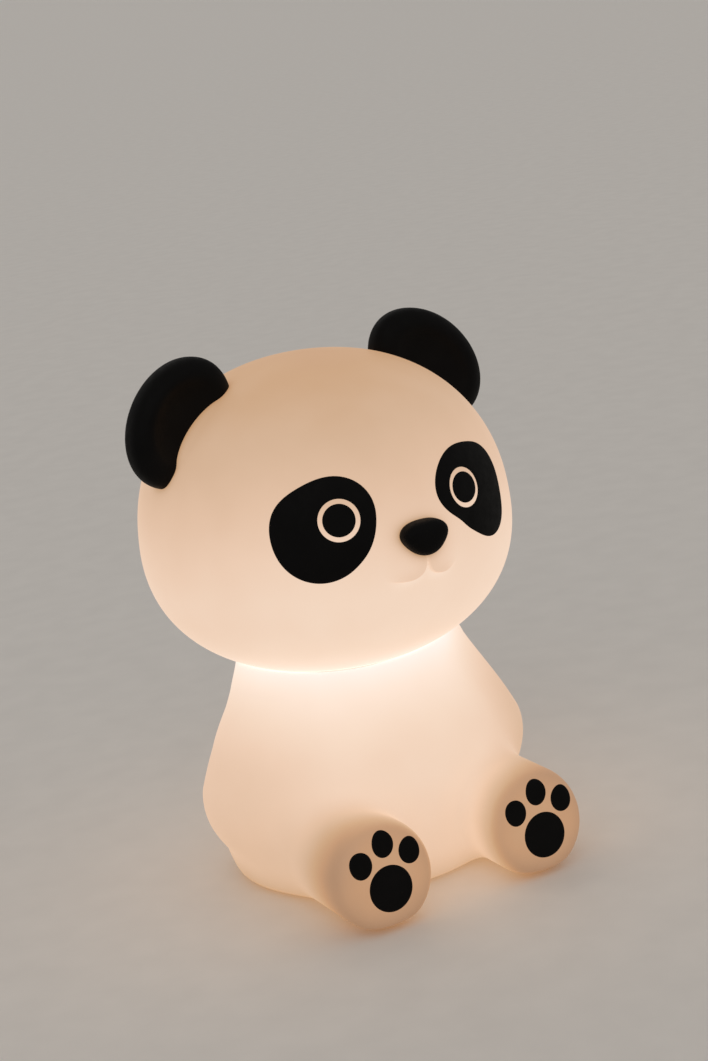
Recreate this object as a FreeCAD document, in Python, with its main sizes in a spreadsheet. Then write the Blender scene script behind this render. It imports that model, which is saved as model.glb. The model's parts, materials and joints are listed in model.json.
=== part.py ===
"""Battery night light in the shape of a sitting panda.

The soft vinyl head and body are hollow, lit from inside by a light module that stands in the body on
the base plate.  Millimetres, +Z up, the panda faces -Y, +X is its own left.  The origin is the centre
of the underside that it stands on.
"""
import FreeCAD, Part
import Sketcher
import math
import os
from FreeCAD import Matrix, Placement, Rotation, Vector

doc = FreeCAD.newDocument("panda_night_light")

DIMENSIONS = {
    # soft shells
    "wall": 2.5,
    "shell_underside": 0.6,
    "floor_top": 4.2,
    "joint_gap": 0.3,
    "clearance": 0.3,
    # head: a turned solid with a superellipse outline
    "head_radius": 50,
    "head_top_half": 42.8,
    "head_bottom_half": 40.8,
    "head_height": 97,
    "head_exponent": 0.894,
    "head_taper": 0.057,
    "neck_opening": 21,
    "neck_opening_bottom": 47,
    # torso outline, from the hips up to the neck
    "neck_radius": 29.8,
    "hip_radius": 41.8,
    "hip_height": 27.5,
    "neck_height": 62,
    "base_tuck": 3.8,
    "torso_depth_ratio": 0.92,
    "torso_shift": -1.5,
    "cavity_top": 55.5,
    "rim_top": 65,
    "body_neck_hole": 20.3,
    # arms, each a tapered limb from the shoulder down to the hand
    "shoulder_across": 25,
    "shoulder_forward": -3.6,
    "shoulder_height": 51.7,
    "shoulder_radius": 8.75,
    "hand_across": 34.3,
    "hand_forward": -6.3,
    "hand_height": 26,
    "hand_radius": 13.8,
    # legs, which point forward and end in soles that lean back
    "leg_radius": 14.2,
    "leg_across": 23.2,
    "leg_height": 14.2,
    "leg_root": 8,
    "sole_forward": -54,
    "sole_tilt": 9,
    "sole_round": 4,
    # muzzle and nose
    "muzzle_forward": -42.5,
    "muzzle_height": 95,
    "muzzle_half_width": 13,
    "muzzle_half_depth": 10.5,
    "muzzle_half_height": 9.5,
    "nose_forward": -53.3,
    "nose_height": 99,
    "nose_half_width": 6.4,
    "nose_half_depth": 3.6,
    "nose_half_height": 4.6,
    "nose_peg_radius": 2,
    "nose_peg_length": 9,
    # ears
    "ear_across": 37.2,
    "ear_forward": 1.1,
    "ear_height": 129.1,
    "ear_half_width": 13.4,
    "ear_half_depth": 6.7,
    "ear_half_height": 18,
    "ear_rim_exponent": 2.8,
    "ear_roll": 40,
    "ear_yaw": -3,
    "ear_pitch": 5,
    "ear_cup_depth": 3.9,
    "ear_cup_ratio": 0.68,
    "ear_peg_radius": 2.4,
    "ear_peg_back": 2.6,
    "ear_stand_off": 3.3,
    "ear_barb_radius": 3.6,
    "ear_barb_length": 1.6,
    # black inlays of the face and soles
    "inlay_depth": 0.4,
    "inlay_proud": 0.15,
    "eye_across": 18.3,
    "eye_forward": -44.3,
    "eye_height": 106.1,
    "eye_outward_rise": 0.14,
    "eye_bar_reach": 8,
    "pupil_radius": 4.15,
    "eye_ring_radius": 5.35,
    "patch_across": 21.6,
    "patch_height": 103.9,
    "patch_radius": 12.2,
    "patch_egg_size": 0.6,
    "patch_egg_direction": 63,
    "patch_oval_size": 1.55,
    "patch_oval_direction": -49,
    "patch_corner_size": 0.7,
    "patch_corner_direction": 40,
    "toe_half_width": 3.1,
    "toe_half_height": 3.5,
    "outer_toe_across": 30.45,
    "side_toe_height": 19.65,
    "middle_toe_across": 23.35,
    "middle_toe_height": 23.25,
    "inner_toe_across": 16.3,
    "pad_half_width": 6.1,
    "pad_half_height": 6.1,
    "pad_across": 23.5,
    "pad_height": 11.7,
    # base plate and the ring that clamps the body's rim to it
    "flange_radius": 29,
    "flange_thickness": 1.6,
    "plug_radius": 25.7,
    "body_base_hole": 26,
    "ring_rise": 0.1,
    "ring_thickness": 2,
    "ring_inner_radius": 18,
    "ring_screw_across": 15.6,
    "ring_screw_length": 6.2,
    "ring_boss_wall": 1.4,
    "ring_boss_height": 2.4,
    "ring_boss_hole_depth": 3.6,
    "ring_window_half_width": 4.6,
    "ring_window_front": 5.5,
    # battery door and its captive screw
    "door_radius": 15,
    "door_seat_radius": 15.4,
    "door_thickness": 1.3,
    "door_seat_depth": 1.5,
    "door_mouth_radius": 13.2,
    "door_screw_forward": 18.2,
    "door_tab_half_width": 4.2,
    "door_tab_root": 5,
    "door_tab_end": 22,
    "door_screw_bottom": 0.75,
    "door_screw_length": 2.9,
    "door_screw_seat": 0.8,
    "door_screw_hole_depth": 2.2,
    "screw_head_radius": 2.2,
    "screw_head_height": 1,
    "screw_shank_radius": 1.1,
    "screw_play": 0.1,
    "screw_slot_width": 0.5,
    "small_screw_head_radius": 1.3,
    "small_screw_head_height": 0.7,
    "small_screw_radius": 0.6,
    "small_screw_length": 3,
    "pilot_depth": 2.6,
    # button and switch
    "button_backward": 21.8,
    "button_radius": 3,
    "button_bore_radius": 3.3,
    "button_bottom": 0.4,
    "button_length": 4.1,
    "button_lip_radius": 3.9,
    "button_lip_bottom": 2.7,
    "button_lip_thickness": 0.8,
    "button_lip_seat": 2.4,
    "switch_width": 6,
    "switch_height": 3.4,
    "switch_top_wall": 0.6,
    "plunger_bottom": 4.5,
    "plunger_length": 4,
    "plunger_radius": 1.4,
    "plunger_bore_radius": 1.6,
    "switch_board_length": 19,
    "switch_board_width": 7,
    "board_thickness": 1.2,
    "post_across": 7.5,
    "post_radius": 1.7,
    "switch_board_bottom": 10.6,
    # battery cells, size AAA
    "cell_radius": 5.25,
    "cell_length": 43.7,
    "cell_nub_radius": 1.9,
    "cell_nub_length": 0.8,
    "cell_bottom": 3.7,
    "cell_circle": 7.1,
    "cell_bore_radius": 5.5,
    "contact_thickness": 0.3,
    "leaf_half_length": 3.2,
    "leaf_width": 3.4,
    "leaf_gap": 0.1,
    "contact_plate_radius": 4,
    # tower that holds the cells and carries the lamp
    "tower_radius": 16.8,
    "tower_top": 50.4,
    "tower_roof": 1.6,
    "wire_groove_half_width": 3.6,
    "wire_groove_depth": 2.6,
    "lamp_board_radius": 14.9,
    "led_side": 2.8,
    "led_height": 0.9,
    "led_circle": 6,
    "dome_radius": 16.8,
    "dome_wall": 1.2,
    "dome_height": 11.6,
    "board_screw_across": 10.4,
    "wire_radius": 0.6,
    "wire_across": 1.9,
    "wire_gap": 0.05,
    "wire_bend": 3,
    "wire_root_forward": 1.6,
    "wire_first_rise": 6,
    "wire_second_rise": 14,
    # swivel that joins the head to the body
    "bearing_inner_radius": 17.6,
    "bearing_outer_radius": 20,
    "bearing_flange_radius": 23,
    "bearing_bottom": 53.3,
    "collar_flange_radius": 24.4,
    "collar_bottom": 59.2,
    "collar_flange_bottom": 62.6,
    "collar_flange_thickness": 1.4,
    "retainer_radius": 23.2,
    "retainer_thickness": 1.6,
}

sheet = doc.addObject("Spreadsheet::Sheet", "dims")
for row, (alias, number) in enumerate(DIMENSIONS.items(), start=1):
    sheet.set("A%d" % row, alias)
    sheet.set("B%d" % row, str(number))
    sheet.setAlias("B%d" % row, alias)
doc.recompute()

SIDES = {"left": 1, "right": -1}
UP = Vector(0, 0, 1)
FORWARD = Vector(0, -1, 0)
BIG = 200
DEEP = 20
nodes = []


def dim(alias):
    """The value of a driving dimension."""
    return float(sheet.get(alias))


# ---------------------------------------------------------------- PartDesign helpers

def new_body(label):
    body = doc.addObject("PartDesign::Body", label)
    body.Label = label
    nodes.append(body)
    return body


def new_sketch(body, height="0", role="XY_Plane"):
    """A sketch on one of the body's origin planes, raised by the expression height."""
    sketch = body.newObject("Sketcher::SketchObject", body.Label + "_sketch")
    plane = [item for item in body.Origin.OriginFeatures if item.Role == role][0]
    sketch.AttachmentSupport = [(plane, "")]
    sketch.MapMode = "FlatFace"
    sketch.setExpression("AttachmentOffset.Base.z", height)
    return sketch


def constrain(sketch, expression, kind, *geometry):
    """Adds a dimensional constraint and binds it to an expression."""
    number = sketch.addConstraint(Sketcher.Constraint(kind, *geometry, 1.0))
    sketch.setExpression("Constraints[%d]" % number, expression)


def draw_circle(sketch, radius, across="0", along="0"):
    index = sketch.addGeometry(Part.Circle(Vector(0, 0, 0), UP, 1), False)
    constrain(sketch, radius, "Radius", index)
    constrain(sketch, across, "DistanceX", -1, 1, index, 3)
    constrain(sketch, along, "DistanceY", -1, 1, index, 3)


def draw_rectangle(sketch, left, right, low, high):
    """A rectangle whose four sides lie at the given expressions."""
    corners = [Vector(0, 0, 0), Vector(1, 0, 0), Vector(1, 1, 0), Vector(0, 1, 0)]
    lines = []
    for start, end in zip(corners, corners[1:] + corners[:1]):
        lines.append(sketch.addGeometry(Part.LineSegment(start, end), False))
    for line, following in zip(lines, lines[1:] + lines[:1]):
        sketch.addConstraint(Sketcher.Constraint("Coincident", line, 2, following, 1))
    for line, kind in zip(lines, ("Horizontal", "Vertical", "Horizontal", "Vertical")):
        sketch.addConstraint(Sketcher.Constraint(kind, line))
    constrain(sketch, left, "DistanceX", -1, 1, lines[0], 1)
    constrain(sketch, low, "DistanceY", -1, 1, lines[0], 1)
    constrain(sketch, right, "DistanceX", -1, 1, lines[1], 2)
    constrain(sketch, high, "DistanceY", -1, 1, lines[1], 2)


def pad(body, sketch, height):
    """Adds material from the sketch upward by height."""
    feature = body.newObject("PartDesign::Pad", body.Label + "_pad")
    feature.Profile = sketch
    feature.setExpression("Length", height)
    sketch.Visibility = False
    doc.recompute()
    return feature


def pocket(body, sketch, height):
    """Removes material from the sketch upward by height."""
    before = body.Shape.Volume
    feature = body.newObject("PartDesign::Pocket", body.Label + "_pocket")
    feature.Profile = sketch
    feature.Reversed = True
    feature.setExpression("Length", height)
    doc.recompute()
    if body.Shape.Volume >= before:
        raise ValueError("pocket cuts nothing in " + body.Label)
    return feature


def pad_disc(body, bottom, height, radius, across="0", along="0"):
    sketch = new_sketch(body, bottom)
    draw_circle(sketch, radius, across, along)
    return pad(body, sketch, height)


def pocket_disc(body, bottom, height, radius, across="0", along="0"):
    sketch = new_sketch(body, bottom)
    draw_circle(sketch, radius, across, along)
    return pocket(body, sketch, height)


def pad_block(body, bottom, height, *sides):
    sketch = new_sketch(body, bottom)
    draw_rectangle(sketch, *sides)
    return pad(body, sketch, height)


def pocket_block(body, bottom, height, *sides):
    sketch = new_sketch(body, bottom)
    draw_rectangle(sketch, *sides)
    return pocket(body, sketch, height)


# ---------------------------------------------------------------- free-form helpers

def new_feature(label, shape):
    """A sub-part whose shape is worked out below from the sheet."""
    feature = doc.addObject("Part::Feature", label)
    feature.Label = label
    feature.Shape = shape
    feature.Placement = shape.Placement
    nodes.append(feature)
    return feature


def turned(points, start_tangent, end_tangent):
    """A solid turned about Z from a smooth outline of (radius, height) pairs."""
    path = [Vector(radius, 0, height) for radius, height in points]
    outline = Part.BSplineCurve()
    outline.interpolate(Points=path, InitialTangent=start_tangent, FinalTangent=end_tangent)
    axis_top = Vector(0, 0, path[-1].z)
    axis_bottom = Vector(0, 0, path[0].z)
    edges = [outline.toShape()]
    if path[-1].x > 0:
        edges.append(Part.makeLine(path[-1], axis_top))
    edges.append(Part.makeLine(axis_top, axis_bottom))
    if path[0].x > 0:
        edges.append(Part.makeLine(axis_bottom, path[0]))
    return Part.Face(Part.Wire(edges)).revolve(Vector(0, 0, 0), UP, 360)


def stretched(shape, across, along, upward):
    matrix = Matrix()
    matrix.scale(across, along, upward)
    return shape.transformGeometry(matrix)


def ellipsoid(center, half_width, half_depth, half_height):
    ball = stretched(Part.makeSphere(1), half_width, half_depth, half_height)
    ball.translate(center)
    return ball


def cylinder_between(start, end, radius):
    reach = end - start
    return Part.makeCylinder(radius, reach.Length, start, reach)


def slab(low, high):
    """A block that is wide enough to hold the whole object between two heights."""
    return Part.makeBox(2 * BIG, 2 * BIG, high - low, Vector(-BIG, -BIG, low))


def mirrored(shape, side):
    """The same shape on the panda's left, or mirrored to its right."""
    return shape if side > 0 else shape.mirror(Vector(0, 0, 0), Vector(1, 0, 0))


# ---------------------------------------------------------------- soft head

def head_solid(grow):
    """The head's outer form with its half-axes made larger by grow."""
    steps = 24
    points = []
    for step in range(steps + 1):
        angle = math.pi * (step / steps - 0.5)
        level = math.copysign(abs(math.sin(angle)) ** dim("head_exponent"), angle)
        half = dim("head_top_half") if level > 0 else dim("head_bottom_half")
        width = (dim("head_radius") + grow) * (1 - dim("head_taper") * level)
        radius = width * max(math.cos(angle), 0) ** dim("head_exponent")
        points.append((radius, dim("head_height") + level * (half + grow)))
    points[0] = (0, points[0][1])
    points[-1] = (0, points[-1][1])
    return turned(points, Vector(1, 0, 0), Vector(-1, 0, 0))


def muzzle_solid(grow):
    return ellipsoid(Vector(0, dim("muzzle_forward"), dim("muzzle_height")),
                     dim("muzzle_half_width") + grow, dim("muzzle_half_depth") + grow,
                     dim("muzzle_half_height") + grow)


def ear_solid():
    """The left ear: a thick oval with a rounded rim and a cupped front, its long axis along the head."""
    steps = 8
    exponent = dim("ear_rim_exponent")
    points = []
    for step in range(2 * steps + 1):
        angle = math.pi * (step / (2 * steps) - 0.5)
        level = math.copysign(abs(math.sin(angle)) ** (2 / exponent), angle)
        radius = dim("ear_half_width") * max(math.cos(angle), 0) ** (2 / exponent)
        points.append((radius, level * dim("ear_half_depth")))
    points[0] = (0, points[0][1])
    points[-1] = (0, points[-1][1])
    disc = turned(points, Vector(1, 0, 0), Vector(-1, 0, 0))
    disc = stretched(disc, 1, dim("ear_half_height") / dim("ear_half_width"), 1)
    cup = ellipsoid(Vector(0, 0, dim("ear_half_depth")),
                    dim("ear_cup_ratio") * dim("ear_half_width"),
                    dim("ear_cup_ratio") * dim("ear_half_height"), dim("ear_cup_depth"))
    disc = disc.cut(cup)
    disc.rotate(Vector(0, 0, 0), UP, dim("ear_roll"))
    disc.rotate(Vector(0, 0, 0), Vector(1, 0, 0), 90)
    disc.rotate(Vector(0, 0, 0), Vector(1, 0, 0), -dim("ear_pitch"))
    disc.rotate(Vector(0, 0, 0), UP, dim("ear_yaw"))
    disc.translate(ear_center())
    return disc


def ear_center():
    return Vector(dim("ear_across"), dim("ear_forward"), dim("ear_height"))


def ear_peg():
    """The stud that holds the ear, with a barb behind the head's wall."""
    inward = Vector(-dim("ear_across"), 0, dim("head_height") - dim("ear_height")).normalize()
    root = ear_center() + Vector(0, dim("ear_peg_back"), 0)
    foot = root - inward * dim("wall")
    tip = root + inward * (dim("ear_stand_off") + dim("wall") + dim("ear_barb_length"))
    barb = tip - inward * dim("ear_barb_length")
    stud = cylinder_between(foot, tip, dim("ear_peg_radius"))
    return stud, cylinder_between(barb, tip, dim("ear_barb_radius"))


def patch_prism():
    """A bar along Y whose section is the left eye patch: a circle with one, two and three lobes."""
    waves = [(1, "patch_egg"), (2, "patch_oval"), (3, "patch_corner")]
    steps = 24
    outline = []
    for step in range(steps):
        angle = 2 * math.pi * step / steps
        radius = dim("patch_radius")
        for count, name in waves:
            direction = math.radians(dim(name + "_direction"))
            radius += dim(name + "_size") * math.cos(count * (angle - direction))
        outline.append(Vector(dim("patch_across") + radius * math.cos(angle), -BIG,
                              dim("patch_height") + radius * math.sin(angle)))
    curve = Part.BSplineCurve()
    curve.interpolate(Points=outline, PeriodicFlag=True)
    return Part.Face(Part.Wire(curve.toShape())).extrude(Vector(0, BIG, 0))


def eye_bar(radius):
    """A bar through the left eye, square to the head's surface."""
    eye = Vector(dim("eye_across"), dim("eye_forward"), dim("eye_height"))
    outward = Vector(eye.x, eye.y, 0).normalize() + UP * dim("eye_outward_rise")
    reach = outward.normalize() * dim("eye_bar_reach")
    return cylinder_between(eye - reach, eye + reach, radius)


def face_layer():
    """The thin layer at the head's surface that the eye inlays fill."""
    return head_solid(dim("inlay_proud")).cut(head_solid(-dim("inlay_depth")))


def build_head():
    outer = head_solid(0)
    face = outer.fuse(muzzle_solid(0))
    hollow = head_solid(-dim("wall")).fuse(muzzle_solid(-dim("wall")))
    opening = Part.makeCylinder(dim("neck_opening"), DEEP, UP * dim("neck_opening_bottom"))
    shell = face.cut(hollow).cut(opening)
    layer = face_layer()
    nose_center = Vector(0, dim("nose_forward"), dim("nose_height"))
    nose_peg = cylinder_between(nose_center, nose_center - FORWARD * dim("nose_peg_length"),
                                dim("nose_peg_radius"))
    nose = ellipsoid(nose_center, dim("nose_half_width"), dim("nose_half_depth"),
                     dim("nose_half_height"))
    new_feature("nose", nose.cut(face).fuse(nose_peg).removeSplitter())
    shell = shell.cut(nose_peg)
    patch = layer.common(patch_prism()).cut(eye_bar(dim("eye_ring_radius")))
    pupil = layer.common(eye_bar(dim("pupil_radius")))
    stud, barb = ear_peg()
    ear = ear_solid().cut(outer).fuse(stud.fuse(barb)).removeSplitter()
    for name, side in SIDES.items():
        for label, shape in (("eye_patch_", patch), ("pupil_", pupil), ("ear_", ear)):
            new_feature(label + name, mirrored(shape, side))
        for shape in (patch, pupil, stud):
            shell = shell.cut(mirrored(shape, side))
    new_feature("head_shell", shell)


# ---------------------------------------------------------------- soft body

def torso_radius(height):
    """Half-width of the torso: a soft S from the hips to the neck, tucked in at the base."""
    rise = (height - dim("hip_height")) / (dim("neck_height") - dim("hip_height"))
    rise = min(max(rise, 0), 1)
    taper = 0.5 * (1 + math.cos(math.pi * rise))
    below = max(dim("hip_height") - height, 0) / dim("hip_height")
    spread = dim("hip_radius") - dim("neck_radius")
    return dim("neck_radius") + spread * taper - dim("base_tuck") * below ** 2


def torso_solid(shrink, bottom, top):
    steps = 14
    points = []
    for step in range(steps + 1):
        height = bottom + (top - bottom) * step / steps
        points.append((torso_radius(height) - shrink, height))
    lean = Vector(2 * dim("base_tuck") / dim("hip_height"), 0, 1)
    solid = turned(points, lean, UP)
    solid = stretched(solid, 1, dim("torso_depth_ratio"), 1)
    solid.translate(Vector(0, dim("torso_shift"), 0))
    return solid


def arm_solid(shrink):
    """The left arm: two balls joined by the cone that touches both."""
    shoulder = Vector(dim("shoulder_across"), dim("shoulder_forward"), dim("shoulder_height"))
    hand = Vector(dim("hand_across"), dim("hand_forward"), dim("hand_height"))
    small = dim("shoulder_radius") - shrink
    large = dim("hand_radius") - shrink
    reach = hand - shoulder
    slope = (large - small) / reach.Length
    side = math.sqrt(1 - slope ** 2)
    line = Vector(reach).normalize()
    start = shoulder - line * (small * slope)
    length = reach.Length - (large - small) * slope
    cone = Part.makeCone(small * side, large * side, length, start, line)
    return Part.makeSphere(small, shoulder).fuse(cone).fuse(Part.makeSphere(large, hand))


def sole_placement(across, height):
    """Places a shape that lies in the XY plane on the sole, with its +Z pointing forward."""
    lean = math.tan(math.radians(dim("sole_tilt")))
    forward = dim("sole_forward") + lean * (height - dim("leg_height"))
    return Placement(Vector(across, forward, height), Rotation(Vector(1, 0, 0), 90 - dim("sole_tilt")))


def leg_solid(shrink):
    """The left leg: a round limb that ends in a sole with a soft edge."""
    axis_start = Vector(dim("leg_across"), dim("leg_root"), dim("leg_height"))
    limb = Part.makeCylinder(dim("leg_radius") - shrink, BIG, axis_start, FORWARD)
    beyond = Part.makeBox(BIG, BIG, BIG, Vector(-BIG / 2, -BIG / 2, -shrink))
    beyond.Placement = sole_placement(dim("leg_across"), dim("leg_height")).multiply(beyond.Placement)
    limb = limb.cut(beyond)
    front = min(limb.Faces, key=lambda face: face.CenterOfMass.y)
    return limb.makeFillet(dim("sole_round"), front.Edges)


def body_form(shrink, bottom, top):
    form = torso_solid(shrink, bottom, top)
    for side in SIDES.values():
        form = form.fuse(mirrored(arm_solid(shrink), side)).fuse(mirrored(leg_solid(shrink), side))
    return form.cut(slab(-BIG, bottom)).cut(slab(top, BIG))


def sole_inlay(across, height, half_width, half_height):
    """An oval plug let into the left sole."""
    depth = dim("inlay_depth")
    oval = Part.makeCylinder(1, depth + dim("inlay_proud"), Vector(0, 0, -depth))
    oval = stretched(oval, half_width, half_height, 1)
    oval.Placement = sole_placement(across, height).multiply(oval.Placement)
    return oval


def build_body():
    outer = body_form(0, dim("shell_underside"), dim("rim_top"))
    outer = outer.cut(head_solid(dim("joint_gap")))
    hollow = body_form(dim("wall"), dim("floor_top"), dim("cavity_top"))
    shell = outer.cut(hollow)
    shell = shell.cut(Part.makeCylinder(dim("body_base_hole"), 2 * dim("floor_top")))
    recess = dim("flange_thickness") + dim("ring_rise")
    shell = shell.cut(Part.makeCylinder(dim("flange_radius") + dim("clearance"), recess))
    shell = shell.cut(Part.makeCylinder(dim("body_neck_hole"), DEEP, UP * dim("bearing_bottom")))
    main_pad = sole_inlay(dim("pad_across"), dim("pad_height"),
                          dim("pad_half_width"), dim("pad_half_height"))
    toe_places = [(dim("outer_toe_across"), dim("side_toe_height")),
                  (dim("middle_toe_across"), dim("middle_toe_height")),
                  (dim("inner_toe_across"), dim("side_toe_height"))]
    toes = Part.makeCompound([sole_inlay(across, height, dim("toe_half_width"), dim("toe_half_height"))
                              for across, height in toe_places])
    for name, side in SIDES.items():
        for label, shape in (("main_pad_", main_pad), ("toe_pads_", toes)):
            new_feature(label + name, mirrored(shape, side))
            for solid in shape.Solids:
                shell = shell.cut(mirrored(solid, side))
    new_feature("body_shell", shell)


# ---------------------------------------------------------------- base, door and clamp ring

THROUGH = "10"
RING_BOTTOM = "dims.floor_top + dims.ring_rise"
RING_TOP = RING_BOTTOM + " + dims.ring_thickness"
CORNERS = [(across, along) for across in ("-", "") for along in ("-", "")]


def build_base_plate():
    body = new_body("base_plate")
    pad_disc(body, "0", "dims.flange_thickness", "dims.flange_radius")
    pad_disc(body, "dims.flange_thickness", RING_BOTTOM + " - dims.flange_thickness",
             "dims.plug_radius")
    pocket_disc(body, "0", "dims.door_seat_depth", "dims.door_seat_radius")
    pocket_disc(body, "0", THROUGH, "dims.door_mouth_radius")
    pocket_block(body, "0", "dims.door_seat_depth", "-dims.door_tab_half_width - dims.clearance",
                 "dims.door_tab_half_width + dims.clearance", "-dims.door_tab_end - dims.clearance",
                 "-dims.door_tab_root")
    pocket_disc(body, "dims.door_seat_depth", "dims.door_screw_hole_depth",
                "dims.screw_shank_radius + dims.screw_play / 2", "0", "-dims.door_screw_forward")
    pocket_disc(body, "0", THROUGH, "dims.button_bore_radius", "0", "dims.button_backward")
    pocket_disc(body, "dims.button_lip_seat", THROUGH, "dims.button_lip_radius + dims.clearance",
                "0", "dims.button_backward")
    for across, along in CORNERS:
        place = (across + "dims.ring_screw_across", along + "dims.ring_screw_across")
        pocket_disc(body, "0", "dims.screw_head_height + dims.clearance",
                    "dims.screw_head_radius + 2 * dims.screw_play", *place)
        pocket_disc(body, "0", THROUGH, "dims.screw_shank_radius + dims.screw_play", *place)


def build_retaining_ring():
    """The ring that clamps the body's rim, with the posts that carry the switch board."""
    body = new_body("retaining_ring")
    pad_disc(body, RING_BOTTOM, "dims.ring_thickness", "dims.flange_radius")
    for across, along in CORNERS:
        pad_disc(body, RING_TOP, "dims.ring_boss_height", "dims.screw_shank_radius + dims.ring_boss_wall",
                 across + "(dims.ring_screw_across)", along + "(dims.ring_screw_across)")
    for across in ("-", ""):
        pad_disc(body, RING_TOP, "dims.switch_board_bottom - (" + RING_TOP + ")",
                 "dims.post_radius", across + "dims.post_across", "dims.button_backward")
    pocket_disc(body, RING_BOTTOM, THROUGH, "dims.ring_inner_radius")
    pocket_block(body, RING_BOTTOM, "dims.ring_thickness", "-dims.ring_window_half_width",
                 "dims.ring_window_half_width", "dims.button_backward - dims.ring_window_front",
                 "dims.button_backward + dims.ring_window_half_width")
    for across, along in CORNERS:
        pocket_disc(body, RING_BOTTOM, "dims.ring_boss_hole_depth", "dims.screw_shank_radius",
                    across + "dims.ring_screw_across", along + "dims.ring_screw_across")
    for across in ("-", ""):
        pocket_disc(body, "dims.switch_board_bottom - dims.pilot_depth", "dims.pilot_depth",
                    "dims.small_screw_radius", across + "dims.post_across", "dims.button_backward")


def screw_solid(head_height, head_radius, radius, length):
    """A slotted pan-head screw that points up, its head's underside at the origin."""
    head = Part.makeCylinder(head_radius, head_height, Vector(0, 0, -head_height))
    width = dim("screw_slot_width")
    slot = Part.makeBox(2 * head_radius, width, head_height / 2,
                        Vector(-head_radius, -width / 2, -head_height))
    return head.cut(slot).fuse(Part.makeCylinder(radius, length)).removeSplitter()


def placed_copies(shape, places):
    """Copies of a shape moved to each place, as one group of separate solids."""
    group = []
    for place in places:
        copy = shape.copy()
        copy.translate(place)
        group.append(copy)
    return Part.makeCompound(group)


def build_screws():
    head = dim("screw_head_height")
    play = dim("screw_play")
    screw = screw_solid(head, dim("screw_head_radius"), dim("screw_shank_radius"),
                        dim("ring_screw_length"))
    reach = dim("ring_screw_across")
    places = [Vector(across * reach, along * reach, head + dim("clearance"))
              for across in (-1, 1) for along in (-1, 1)]
    new_feature("ring_screws", placed_copies(screw, places))
    small_head = dim("small_screw_head_height")
    screw = screw_solid(small_head, dim("small_screw_head_radius"), dim("small_screw_radius"),
                        dim("small_screw_length"))
    screw.rotate(Vector(0, 0, 0), Vector(1, 0, 0), 180)
    places = [Vector(side * dim("post_across"), dim("button_backward"),
                     dim("switch_board_bottom") + dim("board_thickness")) for side in (-1, 1)]
    places += [Vector(side * dim("board_screw_across"), 0,
                      dim("tower_top") + dim("board_thickness")) for side in (-1, 1)]
    new_feature("board_screws", placed_copies(screw, places))
    screw = screw_solid(small_head, dim("screw_head_radius") - play, dim("screw_shank_radius") - play,
                        dim("door_screw_length"))
    screw.translate(Vector(0, -dim("door_screw_forward"), dim("door_screw_bottom")))
    new_feature("door_screw", screw)


def build_battery_door():
    body = new_body("battery_door")
    pad_disc(body, "0", "dims.door_thickness", "dims.door_radius")
    pad_block(body, "0", "dims.door_thickness", "-dims.door_tab_half_width", "dims.door_tab_half_width",
              "-dims.door_tab_end", "-dims.door_tab_root")
    pocket_disc(body, "0", "dims.door_screw_seat", "dims.screw_head_radius + dims.screw_play",
                "0", "-dims.door_screw_forward")
    pocket_disc(body, "0", THROUGH, "dims.screw_shank_radius + dims.screw_play / 2",
                "0", "-dims.door_screw_forward")


def cell_centers():
    """The three cells stand in a triangle round the axis."""
    centers = []
    for number in range(3):
        angle = math.radians(90 + 120 * number)
        centers.append(Vector(math.cos(angle), math.sin(angle), 0) * dim("cell_circle"))
    return centers


def build_contact_leaves():
    """One sprung leaf per cell, fixed to the inside of the door and bent up to touch the cell."""
    strip = dim("contact_thickness")
    half = dim("leaf_half_length")
    rise = dim("cell_bottom") - dim("leaf_gap") - dim("door_thickness")
    profile = [Vector(-half, 0, 0), Vector(half, 0, 0), Vector(half, 0, strip),
               Vector(strip - half, 0, strip), Vector(0, 0, rise - strip), Vector(half, 0, rise - strip),
               Vector(half, 0, rise), Vector(-strip, 0, rise), Vector(-half, 0, strip)]
    face = Part.Face(Part.makePolygon(profile + profile[:1]))
    leaf = face.extrude(Vector(0, dim("leaf_width"), 0))
    root = Vector(0, -dim("leaf_width") / 2, dim("door_thickness"))
    new_feature("contact_leaves", placed_copies(leaf, [center + root for center in cell_centers()]))


# ---------------------------------------------------------------- button and switch

BOARD_HOLE = "dims.small_screw_radius + dims.screw_play / 2"


def build_switch():
    button = new_body("power_button")
    pad_disc(button, "dims.button_bottom", "dims.button_length", "dims.button_radius",
             "0", "dims.button_backward")
    pad_disc(button, "dims.button_lip_bottom", "dims.button_lip_thickness", "dims.button_lip_radius",
             "0", "dims.button_backward")
    plunger = new_body("switch_plunger")
    pad_disc(plunger, "dims.plunger_bottom", "dims.plunger_length", "dims.plunger_radius",
             "0", "dims.button_backward")
    case = new_body("push_switch")
    half = "dims.switch_width / 2"
    pad_block(case, "dims.switch_board_bottom - dims.switch_height", "dims.switch_height",
              "-" + half, half, "dims.button_backward - " + half, "dims.button_backward + " + half)
    pocket_disc(case, "dims.switch_board_bottom - dims.switch_height",
                "dims.switch_height - dims.switch_top_wall",
                "dims.plunger_bore_radius", "0", "dims.button_backward")
    board = new_body("switch_board")
    pad_block(board, "dims.switch_board_bottom", "dims.board_thickness",
              "-dims.switch_board_length / 2", "dims.switch_board_length / 2",
              "dims.button_backward - dims.switch_board_width / 2",
              "dims.button_backward + dims.switch_board_width / 2")
    for across in ("-", ""):
        pocket_disc(board, "dims.switch_board_bottom", "dims.board_thickness", BOARD_HOLE,
                    across + "dims.post_across", "dims.button_backward")


# ---------------------------------------------------------------- light module

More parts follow.
